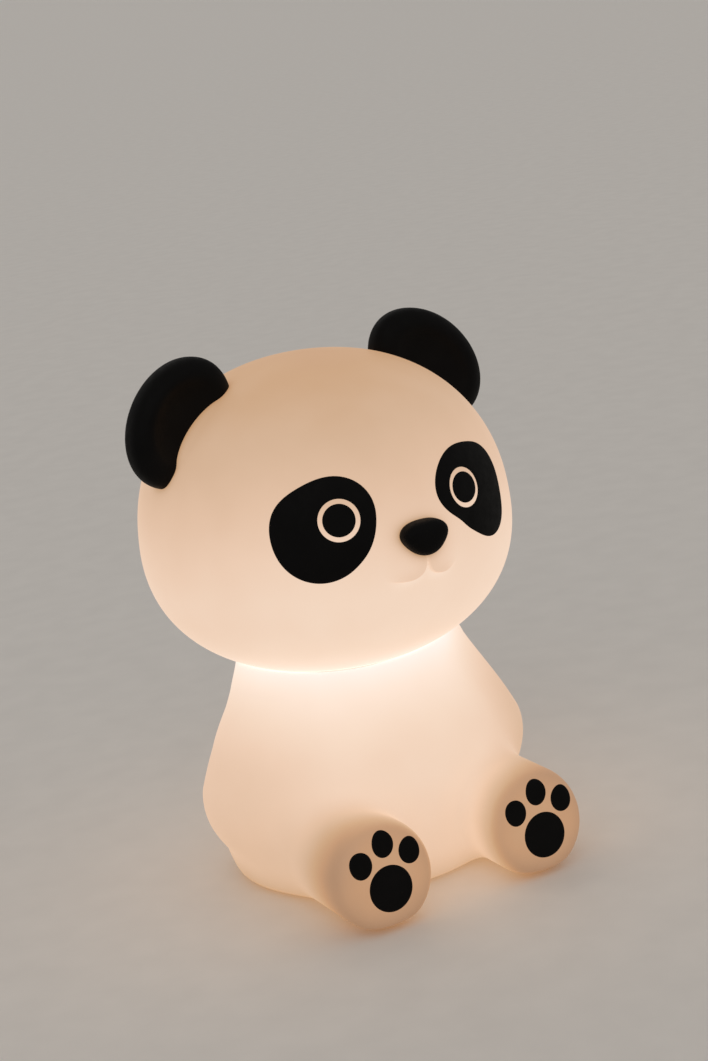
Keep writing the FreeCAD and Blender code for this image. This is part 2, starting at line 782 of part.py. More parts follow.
def build_tower():
    body = new_body("battery_tower")
    height = "dims.tower_top - (" + RING_BOTTOM + ")"
    pad_disc(body, RING_BOTTOM, height, "dims.tower_radius")
    for center in cell_centers():
        pocket_disc(body, RING_BOTTOM, height + " - dims.tower_roof", "dims.cell_bore_radius",
                    str(center.x), str(center.y))
    pocket_block(body, "dims.floor_top", "dims.tower_top", "-dims.wire_groove_half_width",
                 "dims.wire_groove_half_width", "dims.tower_radius - dims.wire_groove_depth",
                 "2 * dims.tower_radius")
    for across in ("-", ""):
        pocket_disc(body, "dims.tower_top - dims.pilot_depth", "dims.pilot_depth",
                    "dims.small_screw_radius", across + "dims.board_screw_across", "0")


def build_cells():
    for number, center in enumerate(cell_centers(), start=1):
        body = new_body("battery_cell_%d" % number)
        place = (str(center.x), str(center.y))
        pad_disc(body, "dims.cell_bottom", "dims.cell_length", "dims.cell_radius", *place)
        pad_disc(body, "dims.cell_bottom + dims.cell_length", "dims.cell_nub_length",
                 "dims.cell_nub_radius", *place)
    plate = Part.makeCylinder(dim("contact_plate_radius"), dim("contact_thickness"))
    lift = UP * (dim("tower_top") - dim("tower_roof") - dim("contact_thickness"))
    new_feature("contact_plates", placed_copies(plate, [center + lift for center in cell_centers()]))


def build_lamp():
    board = new_body("lamp_board")
    pad_disc(board, "dims.tower_top", "dims.board_thickness", "dims.lamp_board_radius")
    for across in ("-", ""):
        pocket_disc(board, "dims.tower_top", "dims.board_thickness", BOARD_HOLE,
                    across + "dims.board_screw_across", "0")
    side = dim("led_side")
    chip = Part.makeBox(side, side, dim("led_height"), Vector(-side / 2, -side / 2, 0))
    lift = UP * (dim("tower_top") + dim("board_thickness"))
    angles = [math.radians(45 + 90 * number) for number in range(4)]
    places = [lift + Vector(math.cos(angle), math.sin(angle), 0) * dim("led_circle")
              for angle in angles]
    new_feature("led_chips", placed_copies(chip, places))
    outer = stretched(Part.makeSphere(1), dim("dome_radius"), dim("dome_radius"), dim("dome_height"))
    wall = dim("dome_wall")
    inner = stretched(Part.makeSphere(1), dim("dome_radius") - wall, dim("dome_radius") - wall,
                      dim("dome_height") - wall)
    dome = outer.cut(inner).cut(slab(-BIG, 0))
    dome.translate(UP * dim("tower_top"))
    new_feature("diffuser_dome", dome)


def wire_solid(points, bend, radius):
    """A tube along straight runs joined by tangent arcs of one bend radius."""
    edges = []
    last = points[0]
    for before, corner, after in zip(points, points[1:], points[2:]):
        arrive = (corner - before).normalize()
        leave = (after - corner).normalize()
        half_turn = arrive.getAngle(leave) / 2
        setback = bend * math.tan(half_turn)
        start = corner - arrive * setback
        end = corner + leave * setback
        inward = (leave - arrive).normalize()
        middle = corner + inward * (bend / math.cos(half_turn) - bend)
        edges.append(Part.makeLine(last, start))
        edges.append(Part.Arc(start, middle, end).toShape())
        last = end
    edges.append(Part.makeLine(last, points[-1]))
    section = Part.Wire(Part.makeCircle(radius, points[0], points[1] - points[0]))
    return Part.Wire(edges).makePipeShell([section], True, False)


def build_wires():
    """Two leads from the switch board up the groove in the tower to the lamp board."""
    top = dim("switch_board_bottom") + dim("board_thickness")
    near = dim("tower_radius") - dim("wire_groove_depth") + dim("wire_radius") + dim("wire_gap")
    root = dim("button_backward") - dim("wire_root_forward")
    points = [Vector(0, root, top), Vector(0, root, top + dim("wire_first_rise")),
              Vector(0, near, top + dim("wire_second_rise")), Vector(0, near, dim("tower_top"))]
    wire = wire_solid(points, dim("wire_bend"), dim("wire_radius"))
    places = [Vector(side * dim("wire_across"), 0, 0) for side in (-1, 1)]
    new_feature("lead_wires", placed_copies(wire, places))


# ---------------------------------------------------------------- neck swivel

def build_neck():
    bearing = new_body("neck_bearing")
    pad_disc(bearing, "dims.bearing_bottom", "dims.cavity_top - dims.bearing_bottom",
             "dims.bearing_flange_radius")
    retainer_bottom = "dims.collar_flange_bottom + dims.collar_flange_thickness + dims.clearance"
    pad_disc(bearing, "dims.cavity_top",
             retainer_bottom + " + dims.retainer_thickness - dims.cavity_top",
             "dims.bearing_outer_radius")
    pocket_disc(bearing, "dims.bearing_bottom", "2 * " + THROUGH, "dims.bearing_inner_radius")
    collar = new_body("head_collar")
    pad_disc(collar, "dims.collar_bottom", "dims.collar_flange_bottom - dims.collar_bottom",
             "dims.neck_opening - 0.1")
    pad_disc(collar, "dims.collar_flange_bottom", "dims.collar_flange_thickness",
             "dims.collar_flange_radius")
    pocket_disc(collar, "dims.collar_bottom", THROUGH, "dims.bearing_outer_radius + dims.joint_gap")
    retainer = new_body("neck_retainer")
    pad_disc(retainer, retainer_bottom, "dims.retainer_thickness", "dims.retainer_radius")
    pocket_disc(retainer, retainer_bottom, THROUGH, "dims.bearing_outer_radius")


# ---------------------------------------------------------------- build, check and write

build_head()
build_body()
build_base_plate()
build_retaining_ring()
build_screws()
build_battery_door()
build_contact_leaves()
build_switch()
build_tower()
build_cells()
build_lamp()
build_wires()
build_neck()
doc.recompute()

for item in doc.Objects:
    if "Invalid" in item.State or "Error" in item.State:
        raise ValueError("failed object: " + item.Label)
for node in nodes:
    if node.Shape.isNull() or not node.Shape.isValid() or not node.Shape.Solids:
        raise ValueError("bad shape: " + node.Label)

os.makedirs("parts", exist_ok=True)
for node in nodes:
    node.Shape.exportStep("parts/%s.step" % node.Label)
    box = node.Shape.BoundBox
    print("%-18s solids %d  volume %9.1f  x %6.1f %6.1f  y %6.1f %6.1f  z %6.1f %6.1f" % (
        node.Label, len(node.Shape.Solids), node.Shape.Volume,
        box.XMin, box.XMax, box.YMin, box.YMax, box.ZMin, box.ZMax))
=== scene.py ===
import json
import math

import bpy
import numpy as np
from mathutils import Matrix, Vector


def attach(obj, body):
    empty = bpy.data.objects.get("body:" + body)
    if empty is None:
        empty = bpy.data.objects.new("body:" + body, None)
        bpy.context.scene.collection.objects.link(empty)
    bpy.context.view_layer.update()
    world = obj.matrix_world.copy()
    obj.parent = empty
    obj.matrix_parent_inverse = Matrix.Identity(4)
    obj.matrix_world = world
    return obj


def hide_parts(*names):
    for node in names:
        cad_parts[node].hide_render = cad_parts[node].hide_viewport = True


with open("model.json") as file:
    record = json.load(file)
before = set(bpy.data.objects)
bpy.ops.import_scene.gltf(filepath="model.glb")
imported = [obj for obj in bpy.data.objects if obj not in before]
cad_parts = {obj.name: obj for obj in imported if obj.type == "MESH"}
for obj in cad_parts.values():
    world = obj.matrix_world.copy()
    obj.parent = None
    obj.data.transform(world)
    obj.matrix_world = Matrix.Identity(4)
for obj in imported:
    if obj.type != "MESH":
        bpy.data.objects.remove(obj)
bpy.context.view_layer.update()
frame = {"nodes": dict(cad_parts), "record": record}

# Lengths in the shape code are millimetres; a mesh is scaled to metres when it is made.
MM = 0.001
SIDES = {"left": 1, "right": -1}

# Walls and small edges
WALL = 2.5
EDGE = 0.5

# Black inlays: layer, rounded edge, rings and points round each, and where their curves start
INLAY_DEPTH = 0.4
INLAY_PROUD = 0.15
INLAY_ROUNDING = 0.35
INLAY_RINGS = 14
INLAY_TURN = 120
INLAY_START = -64.0

# Meshing: grid spacing, how far a slope is measured, and how points drop onto a surface.
# A name that ends in BOX is the box that a form's grid fills.
SHELL_GRID = 1.1
EAR_GRID = 0.8
NOSE_GRID = 0.4
SLOPE_REACH = 0.02
LEAST_SLOPE = 0.05
DROP_ROUNDS = 160
DROP_SHARE = 0.6

# Head: superellipse turned about Z
HEAD_RADIUS = 50.0
HEAD_TOP_HALF = 42.8
HEAD_BOTTOM_HALF = 40.8
HEAD_HEIGHT = 97.0
HEAD_POWER = 2 / 0.894
HEAD_TAPER = 0.057
NECK_OPENING = 21.0
NECK_OPENING_TOP = 77.0
JOINT_GAP = 0.3

# Muzzle, its two lobes, and the nose
MUZZLE_CENTER = (0, -42.5, 95)
MUZZLE_HALF = (13, 10.5, 9.5)
MUZZLE_BLEND = 5.0
LOBE_CENTER = (5.8, 93.0)
LOBE_HALF = (5.7, 5.1)
LOBE_POWER = 2.4
LOBE_STEP = 1.3
LOBE_EDGE = 0.5
LOBE_FADE_HEIGHTS = (88.5, 98.5)
LOBE_FADE_SIDES = (4.0, 11.5)
NOSE_CENTER = (0, -53.3, 99.0)
NOSE_HALF = (6.15, 3.6, 4.47)
NOSE_POWER = 3.0
NOSE_CORNERS = 0.067
NOSE_BOX = [(-8, 8), (-58, -46), (93, 106)]

# Ears: thick ovals with a cupped front; black pieces sink a little into the head
EAR_CENTER = (37.17, 1.07, 129.11)
EAR_HALF = (13.42, 6.74, 17.99)
EAR_RIM_POWER = 2.82
EAR_ROLL = 39.8
EAR_YAW = -3.2
EAR_PITCH = 5.2
EAR_CUP_DEPTH = 3.9
EAR_CUP_RATIO = 0.68
EAR_CUP_BLEND = 2.0
SINK = 1.0
SEAT_EDGE = 0.3
EAR_BOX = [(12, 55), (-9, 11), (106, 148)]

# Eyes: centre in front view, pupil's half-width and half-height, and the light ring's
EYES = {"right": ((18.65, 106.1), (4.15, 4.15), (5.32, 5.35)),
        "left": ((17.85, 106.15), (4.5, 4.0), (5.4, 5.2))}
# How far outside the head an eye's oval starts before it drops onto it
EYE_LIFT = 4.0
# Eye patches: radius about a centre as a mean and (size, phase in degrees) for 1, 2, 3... waves
PATCH_CENTER = (21.6, 103.9)
PATCHES = {"right": (12.26, [(0.31, 44), (1.39, -103), (0.39, 77), (0.20, 150)]),
           "left": (12.16, [(0.86, 70), (1.77, -91), (0.96, 145), (0.22, 148), (0.21, 99),
                            (0.13, -25)])}

# Torso, arms and legs
NECK_RADIUS = 29.8
HIP_RADIUS = 41.8
HIP_HEIGHT = 27.5
NECK_HEIGHT = 62.0
BASE_TUCK = 3.8
TORSO_DEPTH_RATIO = 0.92
TORSO_SHIFT = -1.5
TORSO_SCALE = 0.95
UNDERSIDE = 0.6
UNDERSIDE_EDGE = 3.0
FLOOR_TOP = 4.2
CAVITY_TOP = 55.5
CAVITY_EDGE = 1.5
BODY_TOP_EDGE = 0.8
HOLE_EDGE = 0.3
HOLE_END_EDGE = 1.0
RECESS_EDGE = 0.2
BODY_BASE_HOLE = 26.0
BODY_BASE_HOLE_TOP = 20.0
FLANGE_RECESS_RADIUS = 29.3
FLANGE_RECESS_TOP = 1.7
BODY_NECK_HOLE = 20.3
BODY_NECK_HOLE_BOTTOM = 40.0
SHOULDER = (25.0, -3.6, 51.7)
SHOULDER_RADIUS = 8.75
HAND = (34.15, -5.5, 26.0)
HAND_RADIUS = 13.8
ARM_BEND = (0.2, -0.45, 0.0)
ARM_BLEND = 9.0
LEG_RADIUS = 14.2
LEG_ACROSS = 23.2
LEG_HEIGHT = 14.2
LEG_ROOT = 8.0
LEG_ROOT_EDGE = 4.0
SOLE_FORWARD = -54.0
SOLE_TILT = 9.0
SOLE_BLEND = 5.0
LEG_BLEND = 5.0

# Paw pads: across, height, half-width, half-height, and each foot's shift outwards and up
MAIN_PAD = (23.5, 11.8, 6.15, 6.0)
TOE_PADS = [(30.45, 19.65, 3.15, 3.5), (23.35, 23.25, 3.05, 3.45), (16.3, 19.65, 3.1, 3.45)]
PAD_SHIFT = {"right": (-0.55, 0.0), "left": (0.4, -0.35)}

# Light: brightness of the lit shells by height, greatest beside the lamp in the neck
HEAD_GLOW = [(54, 0.78), (60, 0.695), (68, 0.585), (76, 0.56), (86, 0.555), (96, 0.505),
             (112, 0.40), (128, 0.31), (142, 0.22)]
BODY_GLOW = [(-2, 0.24), (8, 0.43), (18, 0.47), (30, 0.52), (40, 0.545), (48, 0.605),
             (56, 0.705), (63, 0.83)]
# What changes that light: the head's sides, the muzzle's lobes and the light ring of each eye
HEAD_SIDE_FALL = 0.06
HEAD_SIDE = (32, 50)
LOBE_SHADE = 0.14
LOBE_SHADE_EDGE = (-0.2, 0.5)
LOBE_SHADE_MIDDLE = (1, 4)
LIP_GLOW = 0.10
LIP_REACH = 1.5
RING_CENTER = (18.25, 106.1)
RING_REACH = 6.0
RING_GLOW_SLOPE = 0.02
# How far a black piece's shade reaches, and the share of light it takes
NOSE_SHADE = (0.8, 0.5)
EAR_SHADE = (1.0, 0.3)
# A leg's share of that light: at its root, how much it loses, and over which distances
LEG_OUTER_SIDE = (0.82, 0.52, -25, -1.5)
LEG_INNER_SIDE = (0.95, 0.40, -12, -0.5)
SOLE_SHARE = 0.45
SOLE_FALL = 0.16
SOLE_EDGE = (-3, -0.3)
LEG_JOIN = (-5, 5)
ARM_SIDE = (16, 46)
ARM_FALL = {"right": 0.18, "left": 0.28}

# Lit vinyl: its colour at each brightness, its mottling and its grain
GLOW_COLORS = [(0.00, (0.02, 0.0, 0.0)), (0.19, (0.40, 0.19, 0.075)), (0.25, (0.455, 0.25, 0.115)),
               (0.325, (0.52, 0.325, 0.195)), (0.405, (0.62, 0.405, 0.27)),
               (0.485, (0.70, 0.485, 0.35)), (0.575, (0.765, 0.575, 0.445)),
               (0.675, (0.84, 0.675, 0.565)), (0.76, (0.885, 0.76, 0.69)),
               (0.86, (0.93, 0.86, 0.84)), (1.0, (1.0, 0.98, 0.97))]
VINYL_COLOR = (0.28, 0.25, 0.22)
VINYL_ROUGHNESS = 0.5
VINYL_SPECULAR = 0.35
VINYL_EMISSION = 1.0
MOTTLE_SPOTS = 55.0
MOTTLE = 0.012
VINYL_GRAIN = 1400.0
VINYL_GRAIN_STRENGTH = 0.12
VINYL_GRAIN_DEPTH = 0.00004

# Other finishes: noise's middle range, and how much coarser than the grain their spots are
NOISE_RANGE = (0.3, 0.7)
COLOR_COARSENESS = 12
ROUGH_COARSENESS = 3
ROUGH_SPREAD = 0.06
GRAIN_DEPTH = 0.00005
# Colour, roughness, colour variation, grain in spots per metre, bump, then metallic and specular
# where they are not 0 and 0.5
FINISHES = {
    "black_vinyl": ((0.003, 0.0027, 0.0027), 0.6, 0.25, 1600, 0.35, 0.0, 0.08),
    "white_plastic": ((0.80, 0.78, 0.73), 0.5, 0.04, 1500, 0.4),
    "frosted_plastic": ((0.84, 0.82, 0.77), 0.6, 0.03, 1200, 0.3),
    "button_rubber": ((0.10, 0.10, 0.105), 0.7, 0.15, 1500, 0.4),
    "switch_plastic": ((0.03, 0.03, 0.033), 0.45, 0.2, 1500, 0.3),
    "screw_steel": ((0.62, 0.61, 0.58), 0.32, 0.08, 2500, 0.3, 1.0),
    "contact_brass": ((0.78, 0.70, 0.50), 0.3, 0.08, 2500, 0.3, 1.0),
    "cell_sleeve": ((0.22, 0.26, 0.30), 0.35, 0.1, 900, 0.15),
    "board_green": ((0.02, 0.16, 0.06), 0.35, 0.15, 900, 0.2),
    "led_amber": ((0.90, 0.70, 0.25), 0.3, 0.06, 900, 0.15),
    "wire_sleeve": ((0.50, 0.03, 0.02), 0.35, 0.1, 900, 0.15),
}
FLOOR_FINISH = ((0.85, 0.82, 0.78), 0.8, 0.02, 900, 0.1)


# ---------------------------------------------------------------- fields
# A field is negative inside its form and close to the distance from its surface.

def smooth_union(a, b, blend):
    """Forms a and b joined, with a fillet where they meet."""
    h = np.clip(0.5 + 0.5 * (b - a) / blend, 0, 1)
    return b * (1 - h) + a * h - blend * h * (1 - h)


def smooth_cut(a, b, blend):
    """The part of form a that is also in form b, with a softened edge."""
    return -smooth_union(-a, -b, blend)


def length(vectors):
    return np.sqrt((vectors ** 2).sum(-1))


def ellipsoid(points, center, half):
    offset = points - np.array(center, float)
    scaled = offset / np.array(half, float)
    level = length(scaled)
    slope = length(scaled / np.array(half, float)) / np.maximum(level, 1e-6)
    return (level - 1) / np.maximum(slope, 1e-6)


def mirrored(points):
    """The points with every one brought to the panda's left side."""
    folded = points.copy()
    folded[..., 0] = np.abs(folded[..., 0])
    return folded


def plain_head(points):
    """The head without its muzzle: rounder than an ellipsoid, and wider below than above."""
    rise = points[..., 2] - HEAD_HEIGHT
    level = rise / np.where(rise > 0, HEAD_TOP_HALF, HEAD_BOTTOM_HALF)
    radius = np.hypot(points[..., 0], points[..., 1])
    width = HEAD_RADIUS * (1 - HEAD_TAPER * np.clip(level, -1, 1))
    form = ((radius / width) ** HEAD_POWER + np.abs(level) ** HEAD_POWER) ** (1 / HEAD_POWER)
    return (form - 1) * HEAD_TOP_HALF


def muzzle_head(points):
    """The head with its muzzle, on which the nose and the black inlays lie."""
    return smooth_union(plain_head(points), ellipsoid(points, MUZZLE_CENTER, MUZZLE_HALF),
                        MUZZLE_BLEND)


def eased(value, low, high):
    """Rises smoothly from 0 at low to 1 at high."""
    share = np.clip((value - low) / (high - low), 0, 1)
    return share * share * (3 - 2 * share)


def lobe_reach(points):
    """How far inside the edge of the muzzle's two lobes a point lies, in front view."""
    across = np.abs(np.abs(points[..., 0]) - LOBE_CENTER[0]) / LOBE_HALF[0]
    height = np.abs(points[..., 2] - LOBE_CENTER[1]) / LOBE_HALF[1]
    return (1 - (across ** LOBE_POWER + height ** LOBE_POWER) ** (1 / LOBE_POWER)) * LOBE_HALF[1]


def lobe_fade(points):
    """The lobes stand proud at their lower edge and run out upwards and sideways."""
    fade = 1 - eased(points[..., 2], *LOBE_FADE_HEIGHTS)
    fade *= 1 - eased(np.abs(points[..., 0]), *LOBE_FADE_SIDES)
    return fade * (points[..., 1] < 0)


def lobed_head(points):
    """The head's outside with the muzzle's two lobes, whose lower edge is the mouth line."""
    edge = eased(lobe_reach(points), -LOBE_EDGE / 2, LOBE_EDGE)
    return muzzle_head(points) - LOBE_STEP * edge * lobe_fade(points)


def head_shell(points):
    """The head's wall, open at the neck."""
    outside = lobed_head(points)
    shell = smooth_cut(outside, -(muzzle_head(points) + WALL), EDGE)
    radius = np.hypot(points[..., 0], points[..., 1])
    below = np.where(points[..., 2] < NECK_OPENING_TOP, NECK_OPENING - radius, -WALL)
    return smooth_cut(shell, below, EDGE)


def torso(points):
    """The body's trunk: narrow at the neck, widest at the hips and tucked in at the base."""
    height = points[..., 2]
    rise = np.clip((height - HIP_HEIGHT) / (NECK_HEIGHT - HIP_HEIGHT), 0, 1)
    taper = 0.5 * (1 + np.cos(np.pi * rise))
    below = np.clip(HIP_HEIGHT - height, 0, None) / HIP_HEIGHT
    width = NECK_RADIUS + (HIP_RADIUS - NECK_RADIUS) * taper - BASE_TUCK * below ** 2
    depth = width * TORSO_DEPTH_RATIO
    level = np.hypot(points[..., 0] / width, (points[..., 1] - TORSO_SHIFT) / depth)
    return (level - 1) * depth * TORSO_SCALE


def arms(points):
    """Both arms: each thickens from shoulder to hand and bends a little between them."""
    folded = mirrored(points)
    shoulder = np.array(SHOULDER)
    reach = np.array(HAND) - shoulder
    along = np.clip(((folded - shoulder) @ reach) / (reach @ reach), 0, 1)
    bend = 4 * along * (1 - along)
    nearest = shoulder + along[..., None] * reach + bend[..., None] * np.array(ARM_BEND)
    return length(folded - nearest) - (SHOULDER_RADIUS + along * (HAND_RADIUS - SHOULDER_RADIUS))


def sole_distance(points):
    """How far a point lies in front of the soles' plane."""
    tilt = math.radians(SOLE_TILT)
    behind = math.cos(tilt) * (points[..., 1] - SOLE_FORWARD)
    return math.sin(tilt) * (points[..., 2] - LEG_HEIGHT) - behind


def legs(points):
    """Both legs: level cylinders with a rounded edge round each sole."""
    folded = mirrored(points)
    around = np.hypot(folded[..., 0] - LEG_ACROSS, folded[..., 2] - LEG_HEIGHT) - LEG_RADIUS
    limb = smooth_cut(around, sole_distance(points), SOLE_BLEND)
    return smooth_cut(limb, points[..., 1] - LEG_ROOT, LEG_ROOT_EDGE)


def body_form(points):
    trunk = smooth_union(torso(points), arms(points), ARM_BLEND)
    form = smooth_union(trunk, legs(points), LEG_BLEND)
    return smooth_cut(form, UNDERSIDE - points[..., 2], UNDERSIDE_EDGE)


def body_shell(points):
    """The body's wall under the head, with its hollow and the openings at base and neck."""
    height = points[..., 2]
    radius = np.hypot(points[..., 0], points[..., 1])
    outside = body_form(points)
    outside = smooth_cut(outside, JOINT_GAP - plain_head(points), BODY_TOP_EDGE)
    hollow = smooth_cut(outside + WALL, FLOOR_TOP - height, CAVITY_EDGE)
    hollow = smooth_cut(hollow, height - CAVITY_TOP, CAVITY_EDGE)
    shell = smooth_cut(outside, -hollow, EDGE)
    base_hole = smooth_cut(radius - BODY_BASE_HOLE, height - BODY_BASE_HOLE_TOP, HOLE_END_EDGE)
    recess = smooth_cut(radius - FLANGE_RECESS_RADIUS, height - FLANGE_RECESS_TOP, RECESS_EDGE)
    neck_hole = smooth_cut(radius - BODY_NECK_HOLE, BODY_NECK_HOLE_BOTTOM - height, HOLE_END_EDGE)
    for cut in (base_hole, recess, neck_hole):
        shell = smooth_cut(shell, -cut, HOLE_EDGE)
    return shell


def turn(axis, degrees):
    return np.array(Matrix.Rotation(math.radians(degrees), 3, axis))


def left_ear(points):
    """A thick oval that leans outwards, cupped in front and open where the head fills it."""
    local = (points - np.array(EAR_CENTER)) @ turn("Z", EAR_YAW) @ turn("X", -EAR_PITCH)
    local = local @ turn("Y", -EAR_ROLL)
    x, y, z = local[..., 0], local[..., 1], local[..., 2]
    width, depth, height = EAR_HALF
    face = np.hypot(x / width, z / height)
    level = (face ** EAR_RIM_POWER + np.abs(y / depth) ** EAR_RIM_POWER) ** (1 / EAR_RIM_POWER)
    disc = length(local) * (1 - 1 / np.maximum(level, 1e-3))
    cup = ellipsoid(local, (0, -depth, 0),
                    (EAR_CUP_RATIO * width, EAR_CUP_DEPTH, EAR_CUP_RATIO * height))
    ear = smooth_cut(disc, -cup, EAR_CUP_BLEND)
    return smooth_cut(ear, -(plain_head(points) + SINK), SEAT_EDGE)


def nose(points):
    """A button whose front view is a triangle with rounded corners, one of them down."""
    offset = (points - np.array(NOSE_CENTER)) / np.array(NOSE_HALF)
    turn_round = np.arctan2(offset[..., 2], offset[..., 0])
    corner = 1 + NOSE_CORNERS * np.cos(3 * (turn_round + np.pi / 2))
    face = np.hypot(offset[..., 0], offset[..., 2]) / corner
    level = (face ** NOSE_POWER + np.abs(offset[..., 1]) ** NOSE_POWER) ** (1 / NOSE_POWER)
    return smooth_cut((level - 1) * NOSE_HALF[1], -(muzzle_head(points) + SINK), SEAT_EDGE)


# ---------------------------------------------------------------- meshes from fields

def spaced(low, high, step, fine=()):
    """Grid lines from low to high, closer together inside each (low, high, step) of fine."""
    lines = [low]
    while lines[-1] < high:
        here = lines[-1]
        sizes = [size for start, end, size in fine if start <= here < end]
        lines.append(here + min(sizes + [step]))
    return np.array(lines)


def net_cells(inside):
    """Which grid cells the surface passes through, and their numbers."""
    corners = sum(inside[i:i - 1 or None, j:j - 1 or None, k:k - 1 or None].astype(int)
                  for i in (0, 1) for j in (0, 1) for k in (0, 1))
    active = (corners > 0) & (corners < 8)
    number = np.full(active.shape, -1)
    number[active] = np.arange(active.sum())
    return active, number


def net_quads(inside, number):
    """One quad round each grid edge that the surface crosses."""
    quads = []
    for axis in range(3):
        first, second = [other for other in range(3) if other != axis]
        near = inside.take(range(inside.shape[axis] - 1), axis)
        far = inside.take(range(1, inside.shape[axis]), axis)
        crossed = np.argwhere(near != far)
        keep = (crossed[:, first] > 0) & (crossed[:, second] > 0)
        keep &= crossed[:, first] < number.shape[first]
        keep &= crossed[:, second] < number.shape[second]
        crossed = crossed[keep]
        ring = []
        for step_first, step_second in ((1, 1), (0, 1), (0, 0), (1, 0)):
            cell = crossed.copy()
            cell[:, first] -= step_first
            cell[:, second] -= step_second
            ring.append(number[tuple(cell.T)])
        ring = np.stack(ring, -1)
        leaving = near[tuple(crossed.T)]
        flip = leaving if axis == 1 else ~leaving
        ring[flip] = ring[flip][:, ::-1]
        quads.append(ring)
    return np.concatenate(quads)


def gradient(field, points):
    """How steeply a field rises along X, Y and Z at each point."""
    slope = np.empty_like(points)
    for axis in range(3):
        shift = np.zeros(3)
        shift[axis] = SLOPE_REACH
        slope[:, axis] = field(points + shift) - field(points - shift)
    return slope / (2 * SLOPE_REACH)


def onto_surface(field, points, rounds, most):
    """Moves points to the field's surface, each by no more than most."""
    for _ in range(rounds):
        slope = gradient(field, points)
        steepness = np.maximum((slope ** 2).sum(-1), LEAST_SLOPE)
        step = field(points)[:, None] * slope / steepness[:, None]
        size = length(step)[:, None]
        points = points - step * np.minimum(1, most / np.maximum(size, 1e-9))
    return points


def relaxed(points, quads):
    """Each point moved halfway to the middle of its neighbours."""
    total = np.zeros_like(points)
    count = np.zeros(len(points))
    for step in range(4):
        start, end = quads[:, step], quads[:, (step + 1) % 4]
        for here, there in ((start, end), (end, start)):
            for axis in range(3):
                total[:, axis] += np.bincount(here, points[there, axis], len(points))
            count += np.bincount(here, minlength=len(points))
    return 0.5 * points + 0.5 * total / count[:, None]


def surface_mesh(field, lines, smoothing=2):
    """Points and quads of a field's surface over a grid given by its lines along X, Y and Z."""
    grid = np.stack(np.meshgrid(*lines, indexing="ij"), -1)
    value = field(grid)
    active, number = net_cells(value < 0)
    low = grid[:-1, :-1, :-1][active]
    high = grid[1:, 1:, 1:][active]
    quads = net_quads(value < 0, number)
    points = (low + high) / 2
    most = float(np.median(high - low))
    points = onto_surface(field, points, rounds=3, most=most)
    for _ in range(smoothing):
        points = onto_surface(field, relaxed(points, quads), rounds=2, most=most)
    return onto_surface(field, points, rounds=2, most=most), quads


def mesh_object(name, points, faces):
    mesh = bpy.data.meshes.new(name)
    mesh.from_pydata((points * MM).tolist(), [], [list(face) for face in faces])
    mesh.shade_smooth()
    mesh.validate()
    piece = bpy.data.objects.new(name, mesh)
    bpy.context.scene.collection.objects.link(piece)
    return piece


def dropped(field, points, direction):
    """Points moved along a direction until they reach the field's surface."""
    for _ in range(DROP_ROUNDS):
        points = points + DROP_SHARE * field(points)[:, None] * direction
    return points


def front_curve(field, across, height):
    """A curve given in front view, laid on the surface."""
    start = np.stack([across, np.full_like(across, INLAY_START), height], -1)
    return dropped(field, start, np.array([0, 1, 0]))


def inlay_mesh(field, inner, outer):
    """A thin closed layer on a surface between two closed curves of as many points.

    It stands a little proud of the surface, is rounded over at its edges, and reaches into
    the wall. An inner curve of one repeated point makes a layer with no hole.
    """
    shares = [0.5 - 0.5 * math.cos(math.pi * step / INLAY_RINGS) for step in range(INLAY_RINGS + 1)]
    whole = bool(np.ptp(inner, axis=0).max() < 1e-6)
    width = length(outer - inner).mean()
    rings = []
    for level, order in ((INLAY_PROUD, shares), (-INLAY_DEPTH, shares[::-1])):
        for share in order:
            to_edge = (1 - share) * width if whole else min(share, 1 - share) * width
            drop = INLAY_PROUD * max(0, 1 - to_edge / INLAY_ROUNDING) ** 2 if level > 0 else 0
            ring = inner * (1 - share) + outer * share
            layer = onto_surface(lambda p: field(p) - (level - drop), ring, rounds=4, most=1.0)
            rings.append(layer)
    count = len(inner)
    faces = []
    for row in range(len(rings) if not whole else len(rings) - 1):
        following = (row + 1) % len(rings)
        for step in range(count):
            after = (step + 1) % count
            faces.append((row * count + step, following * count + step,
                          following * count + after, row * count + after))
    return np.concatenate(rings), faces


def add_number(piece, name, values):
    """Stores one number per vertex, which a material can read."""
    attribute = piece.data.attributes.new(name, "FLOAT", "POINT")
    attribute.data.foreach_set("value", np.asarray(values, np.float32))


# ---------------------------------------------------------------- glow

def smooth_curve(stops, value):
    """A smooth curve through (place, height) stops."""
    places, heights = np.array(stops, float).T
    slopes = np.gradient(heights, places)
    value = np.clip(value, places[0], places[-1])
    span_index = np.clip(np.searchsorted(places, value) - 1, 0, len(places) - 2)
    width = np.diff(places)[span_index]
    t = (value - places[span_index]) / width
    return (heights[span_index] * (1 + 2 * t) * (1 - t) ** 2
            + heights[span_index + 1] * t ** 2 * (3 - 2 * t)
            + width * t * (1 - t) * (slopes[span_index] * (1 - t) - slopes[span_index + 1] * t))


def near_black(points, field, reach, share):
    """The share of light that is left beside a black piece."""
    return 1 - share * np.exp(-np.clip(field(points), 0, None) / reach)


